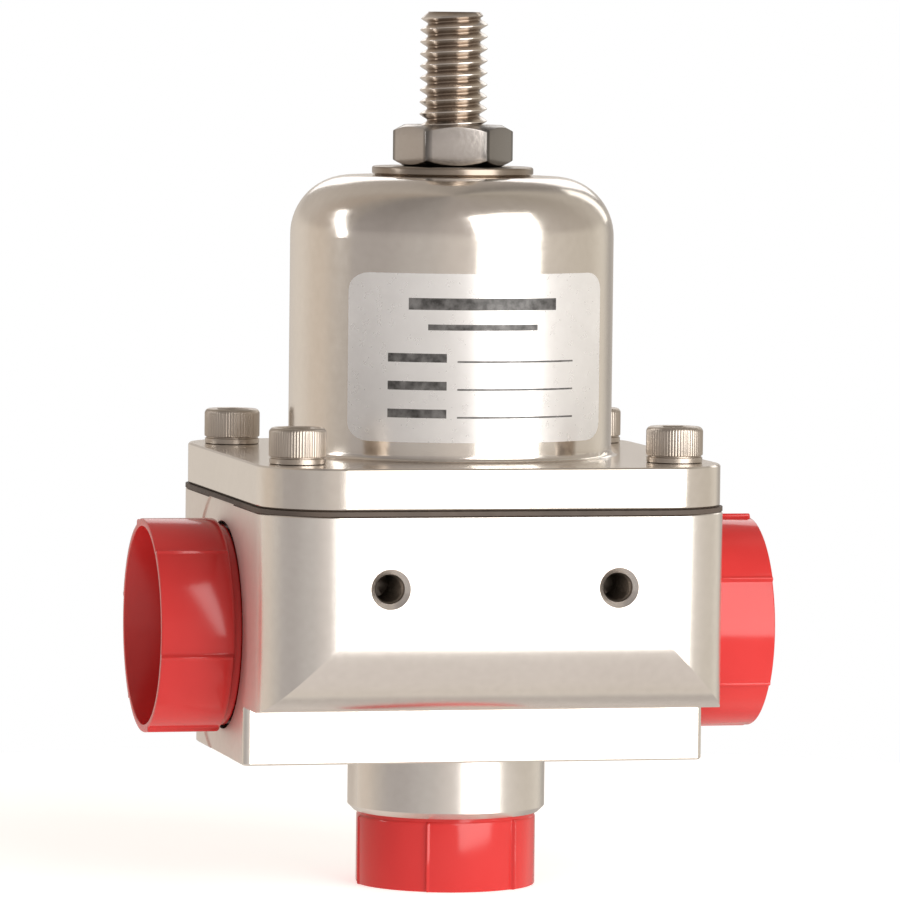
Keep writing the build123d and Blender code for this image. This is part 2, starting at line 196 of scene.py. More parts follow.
def hex_at_angles(flats, turn, angles):
    """Points of a hexagon in the given directions."""
    points = []
    for a in angles:
        off = (a - radians(turn) + pi / 6) % (pi / 3) - pi / 6
        r = flats / 2 / cos(off)
        points.append((r * cos(a), r * sin(a)))
    return points


def move(points, matrix):
    return [tuple(matrix @ Vector(p)) for p in points]


def arc(centre_r, centre_z, radius, start, end, steps):
    """(r, z) points on an arc, angles in degrees from +r towards +z."""
    turns = [radians(start + (end - start) * i / steps) for i in range(steps + 1)]
    return [(centre_r + radius * cos(t), centre_z + radius * sin(t)) for t in turns]


def finish_piece(piece, body, node, material):
    """Gives a piece its material and its place in the frame."""
    piece.data.materials.clear()
    piece.data.materials.append(material)
    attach(piece, body)
    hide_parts(node)


# ------------------------------------------------------------------- materials

# Sockets of a Mix node that share one name
COLOUR_A, COLOUR_B, COLOUR_RESULT = 6, 7, 2
FLOAT_A, FLOAT_B, FLOAT_RESULT = 2, 3, 0


class Look:
    """A procedural material round one Principled shader."""

    def __init__(self, name, colour, roughness, metallic=0.0):
        self.material = bpy.data.materials.new(name)
        self.material.use_nodes = True
        self.tree = self.material.node_tree
        self.shader = self.tree.nodes["Principled BSDF"]
        self.colour = colour
        self.roughness = roughness
        self.set("Base Color", (*colour, 1.0))
        self.set("Roughness", roughness)
        self.set("Metallic", metallic)
        self.place = self.node("ShaderNodeTexCoord").outputs["Object"]

    def node(self, kind, **settings):
        made = self.tree.nodes.new(kind)
        for key, value in settings.items():
            setattr(made, key, value)
        return made

    def set(self, socket, value):
        self.shader.inputs[socket].default_value = value

    def link(self, source, target):
        self.tree.links.new(source, target)

    def stretched(self, stretch):
        """Coordinates scaled differently along each axis."""
        mapping = self.node("ShaderNodeMapping")
        mapping.inputs["Scale"].default_value = stretch
        self.link(self.place, mapping.inputs["Vector"])
        return mapping.outputs["Vector"]

    def noise(self, scale, detail=3.0, stretch=None):
        made = self.node("ShaderNodeTexNoise")
        made.inputs["Scale"].default_value = scale
        made.inputs["Detail"].default_value = detail
        made.inputs["Roughness"].default_value = 0.55
        self.link(self.stretched(stretch) if stretch else self.place, made.inputs["Vector"])
        return made.outputs["Fac"]

    def math(self, operation, a, b=0.0):
        made = self.node("ShaderNodeMath", operation=operation)
        for socket, value in zip(made.inputs, (a, b)):
            if isinstance(value, (int, float)):
                socket.default_value = value
            else:
                self.link(value, socket)
        return made.outputs[0]

    def spread(self, source, low, high, source_low=0.3, source_high=0.7):
        """Maps a pattern onto a range of values."""
        made = self.node("ShaderNodeMapRange")
        made.inputs["From Min"].default_value = source_low
        made.inputs["From Max"].default_value = source_high
        made.inputs["To Min"].default_value = low
        made.inputs["To Max"].default_value = high
        self.link(source, made.inputs["Value"])
        return made.outputs["Result"]

    def tint(self, source, dark, light, start=0.3, end=0.7):
        """Colour that varies with a pattern between two tints of the base colour."""
        ramp = self.node("ShaderNodeValToRGB")
        low, high = ramp.color_ramp.elements
        low.position = start
        high.position = end
        low.color = (*[c * k for c, k in zip(self.colour, dark)], 1.0)
        high.color = (*[c * k for c, k in zip(self.colour, light)], 1.0)
        self.link(source, ramp.inputs["Fac"])
        self.link(ramp.outputs["Color"], self.shader.inputs["Base Color"])
        return ramp.outputs["Color"]

    def vary_roughness(self, source, amount):
        result = self.spread(source, self.roughness - amount, self.roughness + amount)
        self.link(result, self.shader.inputs["Roughness"])

    def bump(self, source, height, after=None):
        """Surface relief of a height in millimetres."""
        made = self.node("ShaderNodeBump")
        made.inputs["Strength"].default_value = 1.0
        made.inputs["Distance"].default_value = height * MM
        self.link(source, made.inputs["Height"])
        if after:
            self.link(after, made.inputs["Normal"])
        self.link(made.outputs["Normal"], self.shader.inputs["Normal"])
        return made.outputs["Normal"]


def machined(
    name, colour, roughness, lay, lay_height, mottle=900.0, grain_height=0.0006, uneven=0.03
):
    """Machined metal: fine cutter lines along the lay, a mottled satin grain and slight stains.

    lay stretches the lines' pattern, heights are in millimetres and uneven varies the roughness.
    """
    look = Look(name, colour, roughness, metallic=1.0)
    lines = look.noise(260.0, 4.0, stretch=lay)
    grain = look.noise(mottle, 3.0)
    clouds = look.noise(60.0, 3.0)
    mixed = look.math("MULTIPLY", look.math("ADD", grain, clouds), 0.5)
    look.tint(mixed, (0.965, 0.96, 0.955), (1.02, 1.02, 1.02), 0.35, 0.65)
    look.vary_roughness(look.math("MULTIPLY", look.math("ADD", lines, grain), 0.5), uneven)
    first = look.bump(grain, grain_height) if grain_height else None
    look.bump(lines, lay_height, after=first)
    return look


def turned(name, colour, roughness, lay_height=0.0005):
    """Metal turned round the main axis: rings at the tool's feed."""
    return machined(name, colour, roughness, (0.35, 0.35, 9.0), lay_height)


def satin_sides(look, roughness):
    """Leaves the faces that look sideways rougher than the rest, as ground faces are."""
    facing = look.node("ShaderNodeSeparateXYZ")
    look.link(look.node("ShaderNodeTexCoord").outputs["Normal"], facing.inputs["Vector"])
    sideways = look.spread(look.math("ABSOLUTE", facing.outputs["X"]), 0.0, 1.0, 0.97, 0.995)
    mix = look.node("ShaderNodeMix", data_type="FLOAT")
    look.link(sideways, mix.inputs["Factor"])
    look.link(look.shader.inputs["Roughness"].links[0].from_socket, mix.inputs[FLOAT_A])
    mix.inputs[FLOAT_B].default_value = roughness
    look.link(mix.outputs[FLOAT_RESULT], look.shader.inputs["Roughness"])


WARM_ALUMINIUM = (0.84, 0.79, 0.735)
BODY_ALUMINIUM = (0.91, 0.87, 0.83)
STAINLESS = (0.66, 0.61, 0.55)
EVEN = (1.0, 1.0, 1.0)  # a lay without a direction

body_look = machined(
    "milled_aluminium", BODY_ALUMINIUM, 0.25, (3.0, 3.0, 0.3), 0.0003,
    grain_height=0.0, uneven=0.006,
)
satin_sides(body_look, 0.55)
bonnet_look = turned("turned_aluminium", WARM_ALUMINIUM, 0.16, 0.0003)
stainless_look = machined(
    "rolled_stainless", STAINLESS, 0.22, (2.0, 2.0, 6.0), 0.0012, 700.0, 0.0020
)
nut_look = machined("blasted_stainless", (0.52, 0.49, 0.465), 0.22, EVEN, 0.0020, 2200.0, 0.0080)
screw_look = machined(
    "knurled_stainless", (0.53, 0.475, 0.42), 0.34, (1.0, 1.0, 5.0), 0.0008, 800.0, 0.0015
)
washer_look = turned("stamped_stainless", (0.33, 0.28, 0.235), 0.25, 0.0010)
# Dark aluminium for the bracket holes' linings: its colour is painted shade inside the holes
hole_shade_look = machined(
    "tapped_aluminium_painted_shade", (0.30, 0.265, 0.235), 0.34, EVEN, 0.0010, 700.0, 0.0010
)
zinc_look = machined("zinc_plate", (0.70, 0.71, 0.72), 0.30, (1.0, 1.0, 6.0), 0.0006)
ball_look = machined("bearing_steel", (0.78, 0.78, 0.79), 0.06, EVEN, 0.0001, 300.0, 0.0001)
brass_look = turned("turned_brass", (0.78, 0.56, 0.25), 0.22)
wire_look = machined("music_wire", (0.34, 0.33, 0.32), 0.32, EVEN, 0.0006)


def paint_shade_on_flats(look):
    """Painted shade on the hexagon: two opposite flats are painted darker, and painted shade
    darkens the corners between the flats.
    """
    split = look.node("ShaderNodeSeparateXYZ")
    look.link(look.place, split.inputs["Vector"])
    heading = look.math("ARCTAN2", split.outputs["Y"], split.outputs["X"])
    from_flat = look.math("SUBTRACT", heading, radians(NUT_TURN))
    corner = look.math("ABSOLUTE", look.math("SINE", look.math("MULTIPLY", from_flat, 3.0)))
    # painted shade along the corners between the flats
    painted_shade = look.spread(corner, 1.0, 0.45, 0.955, 0.995)
    # painted shade: the flat at NUT_TURN - 60 degrees and the one opposite it are darker
    flat = look.math("COSINE", look.math("SUBTRACT", heading, radians(NUT_TURN - 60)))
    tone = look.spread(look.math("ABSOLUTE", flat), 1.0, 0.50, 0.83, 0.88)
    shade = look.math("MULTIPLY", painted_shade, tone)
    mix = look.node("ShaderNodeMix", data_type="RGBA", blend_type="MULTIPLY")
    mix.inputs["Factor"].default_value = 1.0
    look.link(look.shader.inputs["Base Color"].links[0].from_socket, mix.inputs[COLOUR_A])
    look.link(shade, mix.inputs[COLOUR_B])
    look.link(mix.outputs[COLOUR_RESULT], look.shader.inputs["Base Color"])


# The nut's colour gets painted shade on two flats and along its corners
paint_shade_on_flats(nut_look)


def rolled_thread():
    """Stainless with painted shade: the colour darkens from the crests, a little lighter than the
    base, down into the thread's roots.
    """
    look = machined("rolled_thread", STAINLESS, 0.20, (2.0, 2.0, 6.0), 0.0010, 700.0, 0.0015)
    split = look.node("ShaderNodeSeparateXYZ")
    look.link(look.place, split.inputs["Vector"])
    lengths = [look.math("ABSOLUTE", split.outputs[axis]) for axis in "XY"]
    squares = [look.math("POWER", length, 2.0) for length in lengths]
    radius = look.math("SQRT", look.math("ADD", *squares))
    crest = screw_high.x * MM
    # painted shade: darker the deeper into the thread, with a random mottle added
    depth = look.spread(radius, 0.0, 1.0, crest - SCREW_DEPTH * MM, crest - 0.15 * MM)
    painted_shade = look.math("ADD", depth, look.spread(look.noise(900.0, 3.0), -0.08, 0.08))
    look.tint(painted_shade, (0.44, 0.375, 0.33), (1.1, 1.1, 1.12), 0.0, 0.85)
    return look


thread_look = rolled_thread()


def rubber(name, colour, roughness):
    look = Look(name, colour, roughness)
    grain = look.noise(1500.0, 4.0)
    clouds = look.noise(120.0, 2.0)
    look.tint(clouds, (0.8, 0.8, 0.8), (1.35, 1.3, 1.25))
    look.vary_roughness(grain, 0.06)
    look.bump(grain, 0.01)
    return look


diaphragm_look = rubber("coated_fabric", (0.085, 0.066, 0.054), 0.60)
ring_look = rubber("ring_rubber", (0.012, 0.012, 0.012), 0.38)


def moulded_red():
    """Glossy moulded plastic with faint flow marks and a slightly paler bloom."""
    look = Look("moulded_red", (0.62, 0.028, 0.027), 0.15)
    look.set("Specular IOR Level", 0.55)
    clouds = look.noise(70.0, 3.0, stretch=(1.0, 1.0, 0.4))
    grain = look.noise(1100.0, 2.0)
    look.tint(clouds, (0.92, 0.85, 0.85), (1.05, 1.25, 1.25))
    look.vary_roughness(clouds, 0.04)
    look.bump(grain, 0.0012, after=look.bump(clouds, 0.02))
    return look


red_look = moulded_red()


def printed_foil():
    """Satin foil with a generic form: a heading bar, a lower bar and three ruled fields."""
    look = Look("printed_foil", (0.80, 0.79, 0.785), 0.30, 0.45)
    uv = look.node("ShaderNodeSeparateXYZ")
    look.link(look.node("ShaderNodeUVMap").outputs["UV"], uv.inputs["Vector"])
    across, up = uv.outputs["X"], uv.outputs["Y"]

    def bar(left, right, low, high):
        """1 inside a box of the label, 0 outside."""
        wide = look.math("COMPARE", across, (left + right) / 2)
        wide.node.inputs[2].default_value = (right - left) / 2
        tall = look.math("COMPARE", up, (low + high) / 2)
        tall.node.inputs[2].default_value = (high - low) / 2
        return look.math("MULTIPLY", wide, tall)

    # Left, right, low and high edge of each bar, as shares of the label
    bars = [(0.20, 0.78, 0.785, 0.855), (0.27, 0.70, 0.665, 0.70)]
    for row in range(3):
        base = 0.475 - row * 0.165
        bars.append((0.13, 0.34, base, base + 0.052))
        bars.append((0.38, 0.86, base, base + 0.010))
    ink = bar(*bars[0])
    for box in bars[1:]:
        ink = look.math("MAXIMUM", ink, bar(*box))
    wear = look.noise(900.0, 3.0)
    coverage = look.math("MULTIPLY", ink, look.spread(wear, 0.80, 1.0))
    mix = look.node("ShaderNodeMix", data_type="RGBA")
    tone = look.tint(look.noise(180.0, 3.0), (0.95, 0.95, 0.95), (1.03, 1.03, 1.03))
    look.link(coverage, mix.inputs["Factor"])
    look.link(tone, mix.inputs[COLOUR_A])
    mix.inputs[COLOUR_B].default_value = (0.030, 0.028, 0.027, 1.0)
    look.link(mix.outputs[COLOUR_RESULT], look.shader.inputs["Base Color"])
    look.link(look.spread(coverage, 0.45, 0.0, 0.0, 1.0), look.shader.inputs["Metallic"])
    look.vary_roughness(wear, 0.04)
    look.bump(look.noise(60.0, 0.0), 0.003)
    return look


label_look = printed_foil()


# -------------------------------------------------------- adjusting screw, nut, washer

def threaded_screw():
    """Socket set screw with a real helical thread and chamfered ends."""
    columns = 96
    crest = screw_high.x
    root = crest - SCREW_DEPTH
    foot = screw_low.z
    top = screw_high.z
    # Share of the pitch and radius of each point across one ridge and groove
    profile = (
        (-0.0625, crest - 0.06), (-0.035, crest), (0.035, crest), (0.0625, crest - 0.06),
        (0.19, crest - 0.36 * SCREW_DEPTH), (0.30, crest - 0.68 * SCREW_DEPTH),
        (0.41, root + 0.04), (0.46, root), (0.54, root), (0.59, root + 0.04),
        (0.70, crest - 0.68 * SCREW_DEPTH), (0.81, crest - 0.36 * SCREW_DEPTH),
    )
    size = len(profile)
    turns = int((top - foot) / SCREW_PITCH) + 5
    end_radius = root - 0.06
    points = []
    for row in range(turns * size):
        share, radius = profile[row % size]
        base = foot + SCREW_PITCH * (row // size - 2 + share)
        for i in range(columns):
            a = 2 * pi * i / columns
            z = min(max(base + SCREW_PITCH * i / columns, foot), top)
            r = min(radius, end_radius + min(top - z, z - foot) * 1.05)
            points.append((r * cos(a), r * sin(a), z))
    faces = []
    for row in range((turns - 1) * size):
        for i in range(columns - 1):
            a = row * columns + i
            faces.append((a, a + 1, a + columns + 1, a + columns))
        if row + size + 1 < turns * size:
            a = row * columns + columns - 1
            b = (row + size) * columns
            faces.append((a, b, b + columns, a + columns))
    angles = even_angles(columns)
    ball_centre = (ball_low.z + ball_high.z) / 2
    cup = (ball_high.z - ball_low.z) / 2 + FIT
    mouth = sqrt(cup**2 - (foot - ball_centre) ** 2)
    key = hex_at_angles(SCREW_KEY, SCREW_KEY_TURN, angles)
    edge = hex_at_angles(SCREW_KEY + 0.35, SCREW_KEY_TURN, angles)
    socket = [
        ring(circle(end_radius, angles), top),
        ring(circle(end_radius - 0.1, angles), top),
        ring(edge, top),
        ring(key, top - 0.18),
        ring(key, top - SCREW_KEY_DEPTH),
        ring(key, top - SCREW_KEY_DEPTH - 1.0, 0.02),
    ]
    pocket = [ring(circle(end_radius, angles), foot), ring(circle(mouth, angles), foot)]
    start = acos((foot - ball_centre) / cup)
    for step in range(1, 9):
        bend = start * (1 - step / 8)
        pocket.append(ring(circle(cup * sin(bend) + POINT, angles), ball_centre + cup * cos(bend)))
    for stack in (socket, pocket):
        faces += skin_faces(len(stack), columns, first=len(points))
        points += [p for level in stack for p in level]
    return piece_from("threaded_adjuster", points, faces, crease=50.0)


def hex_nut():
    """Jam nut: cone chamfers cut curves across the flats, corners and bore edges are broken."""
    outline = hex_outline(NUT_FLATS, NUT_TURN, HEX_CORNER)
    low, high = nut_low.z, nut_high.z
    start = NUT_FLATS / 2 * NUT_CONE
    slope = tan(radians(30))
    bore = screw_high.x + FIT
    directions = [atan2(y, x) for x, y in outline]

    def cone(sign, level):
        """Where the chamfer's cone meets the sides, the same drawn in, and the end face's edge."""
        cut = [(x, y, level - sign * (hypot(x, y) - start) * slope) for x, y in outline]
        soft = [(x * 0.994, y * 0.994, z + sign * 0.035) for x, y, z in cut]
        sides = [(x, y, z - sign * 0.06) for x, y, z in cut]
        return [sides, soft, ring(circle(start, directions), level - sign * 0.02)]

    under = cone(-1, low)
    over = cone(1, high)
    rings = [
        ring(circle(bore, directions), low + NUT_BORE_EDGE),
        ring(circle(bore + NUT_BORE_EDGE, directions), low),
        ring(circle(start - 0.15, directions), low),
        *reversed(under),
        *over,
        ring(circle(start - 0.15, directions), high),
        ring(circle(bore + NUT_BORE_EDGE, directions), high),
        ring(circle(bore, directions), high - NUT_BORE_EDGE),
        ring(circle(bore, directions), low + NUT_BORE_EDGE),
    ]
    return skin("jam_nut_hex", rings, crease=24.0)


def washer():
    """Stamped washer with rolled upper edges and a bevelled lower edge."""
    angles = even_angles(160)
    outer, inner = washer_high.x, screw_high.x + 0.15
    low, high = washer_low.z, washer_high.z
    profile = [(inner, low + 0.1), (inner + 0.1, low), (outer - 0.34, low), (outer, low + 0.30)]
    profile += arc(outer - 0.3, high - 0.3, 0.3, 0, 90, 6)
    profile += arc(inner + 0.2, high - 0.2, 0.2, 90, 180, 4)
    profile.append(profile[0])
    return skin("round_washer", [ring(circle(r, angles), z) for r, z in profile])


# ------------------------------------------------------------------- bonnet screws

def cap_screw(name, x, y, key_turn):
    """Socket head cap screw: knurled head over a smooth band, rolled rim and dished top."""
    per_knurl = 6
    count = CAP_KNURLS * per_knurl
    angles = even_angles(count)
    head = caps_high.x - CAP_X
    base = caps_high.z - CAP_HEAD_HEIGHT
    top = caps_high.z
    foot = caps_low.z
    tooth = (0.0, 0.10, 0.13, 0.10, 0.0, 0.0)

    def knurled(drop, depth):
        radii = [head - drop - depth * tooth[i % per_knurl] / max(tooth) for i in range(count)]
        return [(r * cos(a), r * sin(a)) for r, a in zip(radii, angles)]

    key = hex_at_angles(CAP_KEY, key_turn, angles)
    key_edge = hex_at_angles(CAP_KEY + 0.3, key_turn, angles)
    levels = [
        (circle(POINT, angles), foot),
        (circle(CAP_SHANK_RADIUS - 0.3, angles), foot),
        (circle(CAP_SHANK_RADIUS, angles), foot + 0.3),
        (circle(CAP_SHANK_RADIUS, angles), base),
        (circle(head - 0.18, angles), base),
        (circle(head - 0.06, angles), base + 0.08),
        (circle(head - 0.05, angles), base + CAP_BAND - 0.12),
        (circle(head - 0.22, angles), base + CAP_BAND - 0.03),
        (circle(head - 0.22, angles), base + CAP_BAND + 0.05),
        (knurled(0.03, 0.05), base + CAP_BAND + 0.14),
        (knurled(0.0, 0.05), base + CAP_BAND + 0.30),
        (knurled(0.0, 0.05), top - 0.52),
        (knurled(0.03, 0.04), top - 0.38),
        (circle(head - 0.12, angles), top - 0.24),
        (circle(head - 0.24, angles), top - 0.09),
        (circle(head - 0.42, angles), top),
        (circle(head - 0.80, angles), top - 0.02),
        (key_edge, top - 0.10),
        (key, top - 0.24),
        (key, top - CAP_KEY_DEPTH),
        ([(px * 0.02, py * 0.02) for px, py in key], top - CAP_KEY_DEPTH - 0.5),
    ]
    rings = [[(px + x, py + y, z) for px, py in outline] for outline, z in levels]
    return skin(name, rings, crease=40.0)


# ---------------------------------------------------------------------- port plugs

RIB_COUNT = 6
RIB_STEP = 0.45
RIB_RAMP = 0.6
RIB_CREST = 1.7
PLUG_WALL = 1.2
SIDE_PLUG = dict(
    bore=10.2, shank_length=9.0, shank_bore=8.6,
    collar=11.75, gap=0.9, grip=12.75, grip_bore=11.6, reach=9.5,
)
BOTTOM_PLUG = dict(
    bore=8.75, shank_length=8.0, shank_bore=7.3,
    collar=10.5, gap=0.4, grip=10.95, grip_bore=9.9, reach=8.65,
)


def rib_angles(turn):
    """Directions round a grip, close together at each rib."""
    near = (-3.0, -2.2, -1.7, -1.3, -0.95, -0.6, -0.3, 0.0, 0.3, 0.6, 0.95, 1.3, 1.7, 2.2, 3.0)
    angles = []
    for rib in range(RIB_COUNT):
        centre = turn + 360 / RIB_COUNT * rib
        angles += [centre + off for off in near]
        angles += [centre + 3.0 + (360 / RIB_COUNT - 6.0) * i / 24 for i in range(1, 24)]
    return [radians(a) for a in angles]


def ribbed(grip, turn, angles, depth=1.0):
    """Grip outline: the radius grows from rib to rib, rises into a bead and drops down a riser."""
    points = []
    step_angle = 360 / RIB_COUNT
    mean = grip - RIB_STEP / 2
    for a in angles:
        past = (degrees(a) - turn + 3.5) % step_angle - 3.5
        if past < -RIB_CREST:
            share = RIB_RAMP * (past + step_angle - RIB_CREST) / (step_angle - 2 * RIB_CREST)
        elif past > RIB_CREST:
            share = RIB_RAMP * (past - RIB_CREST) / (step_angle - 2 * RIB_CREST)
        elif past < 0:
            share = 1 - (1 - RIB_RAMP) * (0.5 - 0.5 * cos(pi * past / RIB_CREST))
        else:
            share = 0.5 + 0.5 * cos(pi * past / RIB_CREST)
        r = min(mean + RIB_STEP * (share - 0.5) * depth, grip)
        points.append((r * cos(a), r * sin(a)))
    return points


def port_plug(
    name, face, turn, bore, shank_length, shank_bore, collar, gap, grip, grip_bore, reach
):
    """Hollow ribbed plug. Its shank fills the port's bore and its grip stands out of the face.

    face is the port's frame with z out of the housing, and turn the direction of the first rib.
    collar, grip and the bores are radii. gap is the collar's length and reach the grip's far end.
    """
    angles = rib_angles(turn)
    levels = [
        (circle(POINT, angles), -shank_length + FIT),
        (circle(bore - 0.55, angles), -shank_length + FIT),
        (circle(bore - FIT - 0.1, angles), -shank_length + FIT + 0.5),
        (circle(bore - FIT, angles), -shank_length + 1.0),
        (circle(bore - FIT, angles), 0.01),
        (circle(collar, angles), 0.01),
        (circle(collar, angles), gap),
        (ribbed(grip - 0.20, turn, angles, 0.35), gap + 0.03),
        (ribbed(grip - 0.06, turn, angles, 0.7), gap + 0.14),
        (ribbed(grip, turn, angles), gap + 0.34),
        (ribbed(grip, turn, angles), reach - 0.16),
        (ribbed(grip - 0.05, turn, angles), reach - 0.05),
        (ribbed(grip - 0.16, turn, angles, 0.9), reach),
        (circle(grip_bore + 0.14, angles), reach),
        (circle(grip_bore + 0.04, angles), reach - 0.04),
        (circle(grip_bore, angles), reach - 0.16),
        (circle(grip_bore, angles), gap + 0.6),
        (circle(grip_bore - 0.12, angles), gap + 0.32),
        (circle(grip_bore - 0.4, angles), gap + 0.21),
        (circle(shank_bore + 0.2, angles), gap + 0.2),
        (circle(shank_bore, angles), gap),
        (circle(shank_bore, angles), PLUG_WALL - shank_length + 0.4),
        (circle(shank_bore - 0.4, angles), PLUG_WALL - shank_length + FIT),
        (circle(POINT, angles), PLUG_WALL - shank_length + FIT),
    ]
    rings = [move(ring(outline, z), face) for outline, z in levels]
    return skin(name, rings, crease=38.0)


def plug_face(centre, outwards):
    """Frame of a port: x towards the front, z out of the housing."""
    x_axis = Vector((0, -1, 0))
    z_axis = Vector(outwards)
    y_axis = z_axis.cross(x_axis)
    turn = Matrix((x_axis, y_axis, z_axis)).transposed().to_4x4()
    return Matrix.Translation(Vector(centre)) @ turn


# ------------------------------------------------------------------ bracket threads

def tapped_lining(name, x, z):
    """Thread of a bracket hole: a thin lining with helical ridges and a cone that closes the
    bottom, all dark as painted shade inside the hole.
    """
    columns, per_turn = 64, 8
    front = housing_low.y
    start, foot = 0.75, BRACKET_DEPTH - 0.6
    shape = (0.0, 0.25, 0.6, 0.9, 1.0, 0.9, 0.6, 0.25)
    rows = int((foot - start) / BRACKET_PITCH * per_turn)
    rings = []
    for row in range(rows + 1):
        loop = []
        for i in range(columns):
            a = 2 * pi * i / columns
            deep = start + (foot - start) * row / rows
            phase = (deep / BRACKET_PITCH + i / columns) % 1.0 * per_turn
            low, high = shape[int(phase)], shape[(int(phase) + 1) % per_turn]
            ridge = low + (high - low) * (phase - int(phase))
            ridge *= min(1.0, 2 * row / per_turn)
            r = BRACKET_RADIUS - 0.03 - BRACKET_RIDGE * ridge
            loop.append((x + r * cos(a), front + deep, z + r * sin(a)))
        rings.append(loop)
    angles = even_angles(columns)
    outside = BRACKET_RADIUS - 0.005
    for radius, deep in (
        (POINT, foot + 0.5), (POINT, foot + 0.55), (outside, foot + 0.05), (outside, start)
    ):
        rings.append([(x + px, front + deep, z + pz) for px, pz in circle(radius, angles)])
    rings.append(rings[0])
    return skin(name, rings, crease=40.0)


# --------------------------------------------------------------------------- label

def curved_label():
    """Foil wrapped round the bonnet, with round corners and a thin edge, mapped for its print."""
    half_width = (label_high.x - label_low.x) / 2
    half_height = (label_high.z - label_low.z) / 2
    middle = (label_high.z + label_low.z) / 2
    corner = 2.0
    inner = BONNET_RADIUS
    outer = -label_low.y
    columns, rows = 96, 24
    points, faces, chart = [], [], []

    def outline(u, v):
        """A point of the unit square drawn into the rounded rectangle, as chord and height."""
        y = v * half_height
        inset = 0.0
        over = abs(y) - (half_height - corner)
        if over > 0:
            inset = corner - sqrt(max(corner**2 - over**2, 0.0))
        return u * (half_width - inset), y

    for radius in (outer, inner):
        for j in range(rows + 1):
            v = -cos(pi * j / rows)
            for i in range(columns + 1):
                x, y = outline(2 * i / columns - 1, v)
                a = asin(max(min(x / outer, 1.0), -1.0))
                points.append((radius * sin(a), -radius * cos(a), middle + y))
                chart.append((x / half_width / 2 + 0.5, y / half_height / 2 + 0.5))
    step = columns + 1
    back = step * (rows + 1)
    for j in range(rows):
        for i in range(columns):
            a = j * step + i
            faces.append((a, a + 1, a + step + 1, a + step))
            faces.append((back + a, back + a + step, back + a + step + 1, back + a + 1))
    rim = [i for i in range(columns)]
    rim += [j * step + columns for j in range(rows)]
    rim += [rows * step + i for i in range(columns, 0, -1)]
    rim += [j * step for j in range(rows, 0, -1)]
    for a, b in zip(rim, rim[1:] + rim[:1]):
        faces.append((b, a, back + a, back + b))
    mesh = bpy.data.meshes.new("foil_label")
    mesh.from_pydata([Vector(p) * MM for p in points], [], faces)
    layer = mesh.uv_layers.new(name="UVMap")
    for loop in mesh.loops:
        layer.data[loop.index].uv = chart[loop.vertex_index]
    return show_mesh("foil_label", mesh, crease=50.0)


# -------------------------------------------------------------------------- spring

def coil_spring():
    """Compression spring with closed end coils ground flat."""
    wire = 1.15
    radius = spring_high.x - wire
    low, high = spring_low.z, spring_high.z
    turns = 6.6
    dead = 0.9 / turns  # share of the wire in each closed end coil
    closed = 0.07  # share of the height that each of them climbs
    steps, sides = 420, 16
    rings = []
    for k in range(steps + 1):
        share = k / steps
        a = 2 * pi * turns * share
        climb = min(max((share - dead) / (1 - 2 * dead), 0.0), 1.0) * (1 - 2 * closed)
        climb += closed * (min(share / dead, 1.0) + max((share - 1 + dead) / dead, 0.0))
        z = low + wire * 0.35 + (high - low - wire * 0.7) * climb
        out = Vector((cos(a), sin(a), 0))
        loop = []
        for i in range(sides):
            b = 2 * pi * i / sides
            p = out * (radius + wire * cos(b)) + Vector((0, 0, z + wire * sin(b)))
            p.z = min(max(p.z, low + 0.02), high - 0.02)
            loop.append(tuple(p))
        rings.append(loop)
    first, last = (
        [tuple(sum((Vector(p) for p in loop), Vector()) / sides)] * sides
        for loop in (rings[0], rings[-1])
    )
    return skin("coil_spring", [first, *rings, last], crease=45.0)


# ------------------------------------------------------------------- make the pieces

finish_piece(threaded_screw(), "adjuster", "adjusting_screw", thread_look.material)
finish_piece(hex_nut(), "nut", "jam_nut", nut_look.material)
finish_piece(washer(), "washer", "seal_washer", washer_look.material)

# Direction of each cap screw's key flats in degrees, by side and depth
CAP_TURNS = {(-1, -1): 8.0, (1, -1): 22.0, (-1, 1): 41.0, (1, 1): 3.0}
for (side, depth), key_turn in CAP_TURNS.items():
    name = f"cap_screw_{'left' if side < 0 else 'right'}_{'front' if depth < 0 else 'back'}"
    cap = cap_screw(name, side * CAP_X, depth * CAP_Y, key_turn)
    finish_piece(cap, "root", "bonnet_screws", screw_look.material)

port_height = (plug_low.z + plug_high.z) / 2
side_face = -plug_low.x - SIDE_PLUG["reach"]
left = plug_face((-side_face, 0, port_height), (-1, 0, 0))
right = plug_face((side_face, 0, port_height), (1, 0, 0))
bottom = plug_face((0, 0, BOTTOM_PLUG["reach"]), (0, 0, -1))
for name, face, turn, sizes in (
    ("left", left, 47.5, SIDE_PLUG),
    ("right", right, 32.5, SIDE_PLUG),
    ("bottom", bottom, -35.6, BOTTOM_PLUG),
):
    plug = port_plug(f"{name}_ribbed_plug", face, turn, **sizes)
    finish_piece(plug, f"{name}_plug", f"{name}_port_plug", red_look.material)

# Linings coloured as painted shade darken the bracket holes' insides
for side, x in (("left", -BRACKET_X), ("right", BRACKET_X)):
    lining = tapped_lining(f"bracket_thread_{side}", x, BRACKET_HEIGHT)
    lining.data.materials.append(hole_shade_look.material)
    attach(lining, "root")

finish_piece(curved_label(), "root", "name_label", label_look.material)

spring = coil_spring()
spring.data.materials.append(wire_look.material)
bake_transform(spring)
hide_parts("main_spring")

